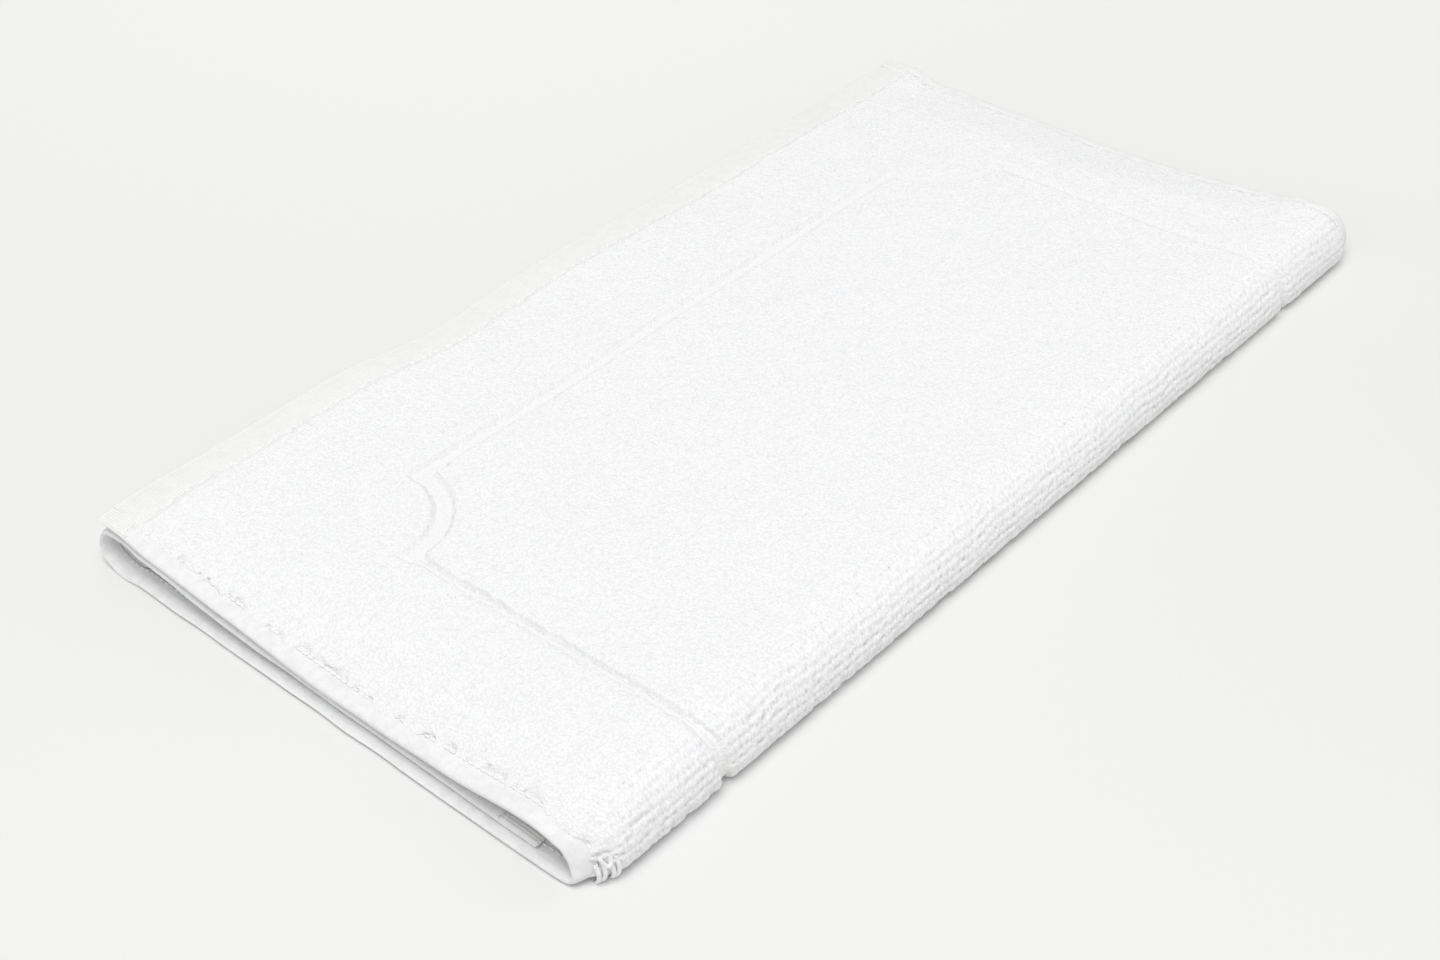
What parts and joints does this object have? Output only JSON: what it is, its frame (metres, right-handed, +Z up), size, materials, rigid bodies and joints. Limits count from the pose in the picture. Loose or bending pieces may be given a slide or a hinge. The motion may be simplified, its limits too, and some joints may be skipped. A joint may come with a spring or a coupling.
{
  "type": "bath mat",
  "caption": "White cotton terry bath mat with turned hems and a sculpted frame, folded in thirds, whose top flap opens on its front fold.",
  "frame": {"origin": "centre of the folded mat's footprint, on the surface that it lies on", "axes": "+X towards the front fold, where the flap turns; +Y along the folds, the mat's 500 mm width; +Z up"},
  "size_m": [0.269, 0.5, 0.0228],
  "materials": {
    "terry_pile": "matte",
    "ground_weave": "matte",
    "end_hem_weave": "matte",
    "side_hem_weave": "matte",
    "hem_thread": "satin"
  },
  "bodies": {
    "base": {"bottom_back_pile": "terry_pile", "bottom_border_pile": "terry_pile", "bottom_field_pile": "terry_pile", "bottom_ground_cloth": "ground_weave", "bottom_left_side_hem": "side_hem_weave", "bottom_right_side_hem": "side_hem_weave", "bottom_side_seams": "hem_thread", "front_fold_back_pile": "terry_pile", "front_fold_border_pile": "terry_pile", "front_fold_field_pile": "terry_pile", "front_fold_ground_cloth": "ground_weave", "front_fold_left_side_hem": "side_hem_weave", "front_fold_right_side_hem": "side_hem_weave", "front_fold_side_seams": "hem_thread", "inner_back_pile": "terry_pile", "inner_border_pile": "terry_pile", "inner_end_hem": "end_hem_weave", "inner_end_seam": "hem_thread", "inner_field_pile": "terry_pile", "inner_ground_cloth": "ground_weave", "inner_left_side_hem": "side_hem_weave", "inner_right_side_hem": "side_hem_weave", "inner_side_seams": "hem_thread", "rear_fold_back_pile": "terry_pile", "rear_fold_border_pile": "terry_pile", "rear_fold_field_pile": "terry_pile", "rear_fold_ground_cloth": "ground_weave", "rear_fold_left_side_hem": "side_hem_weave", "rear_fold_right_side_hem": "side_hem_weave", "rear_fold_side_seams": "hem_thread"},
    "flap": {"flap_back_pile": "terry_pile", "flap_border_pile": "terry_pile", "flap_end_hem": "end_hem_weave", "flap_end_seam": "hem_thread", "flap_field_pile": "terry_pile", "flap_ground_cloth": "ground_weave", "flap_left_side_hem": "side_hem_weave", "flap_right_side_hem": "side_hem_weave", "flap_side_seams": "hem_thread"}
  },
  "joints": [
    {"name": "flap_unfold", "type": "hinge", "parent": "base", "child": "flap", "pos_m": [0.1231, 0, 0.0114], "axis": [0, 1, 0], "range_deg": [0, 180], "deforming": ["front_fold_back_pile", "front_fold_border_pile", "front_fold_field_pile", "front_fold_ground_cloth", "front_fold_left_side_hem", "front_fold_right_side_hem", "front_fold_side_seams"]}
  ]
}
